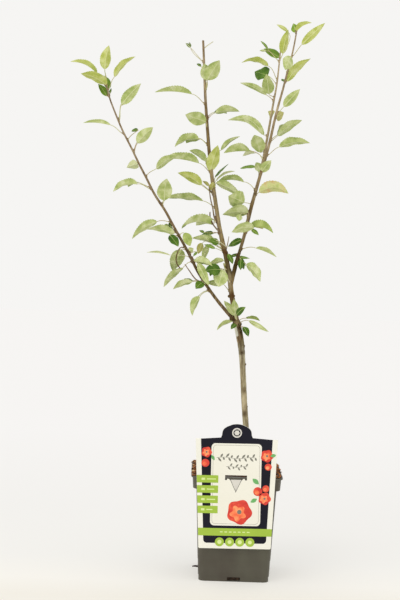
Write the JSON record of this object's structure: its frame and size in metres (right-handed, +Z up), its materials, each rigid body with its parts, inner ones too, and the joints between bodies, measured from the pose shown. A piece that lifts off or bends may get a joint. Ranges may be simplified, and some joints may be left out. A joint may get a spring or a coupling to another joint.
{
  "type": "dwarf apple tree in a pot",
  "caption": "Young dwarf apple tree with slender boughs and loose clusters of leaves, in a square nursery pot with bark mulch and a printed card hooked over the front rim.",
  "frame": {"origin": "centre of the pot's flat underside", "axes": "+Z up along the tree; +X to the right and -Y towards the viewer, seen from the front, where the card hangs"},
  "size_m": [0.5071, 0.2368, 1.1489],
  "materials": {
    "pot": "satin",
    "soil": "matte",
    "mulch": "matte",
    "card": "satin",
    "root": "matte",
    "bark": "matte",
    "leaf": "satin"
  },
  "bodies": {
    "root": {"pot": "pot", "soil": "soil", "mulch": "mulch", "card": "card", "root_tip": "root", "trunk": "bark", "leader": "bark", "left_bough": "bark", "right_bough": "bark", "inner_shoot": "bark", "leaves_left_tip": "leaf", "leaves_left_high": "leaf", "leaves_left_middle": "leaf", "leaves_left_bend": "leaf", "leaves_left_low": "leaf", "leaves_left_hanging": "leaf", "leaves_left_foot": "leaf", "leaves_leader_tip": "leaf", "leaves_leader_high": "leaf", "leaves_leader_middle": "leaf", "leaves_leader_low": "leaf", "leaves_heart_left": "leaf", "leaves_heart_low": "leaf", "leaves_inner_tip": "leaf", "leaves_inner_high": "leaf", "leaves_inner_low": "leaf", "leaves_outer_tip": "leaf", "leaves_outer_high": "leaf", "leaves_right_fork": "leaf", "leaves_right_bough": "leaf", "leaves_right_low": "leaf", "leaves_heart_right": "leaf", "leaves_fork": "leaf"}
  },
  "joints": []
}
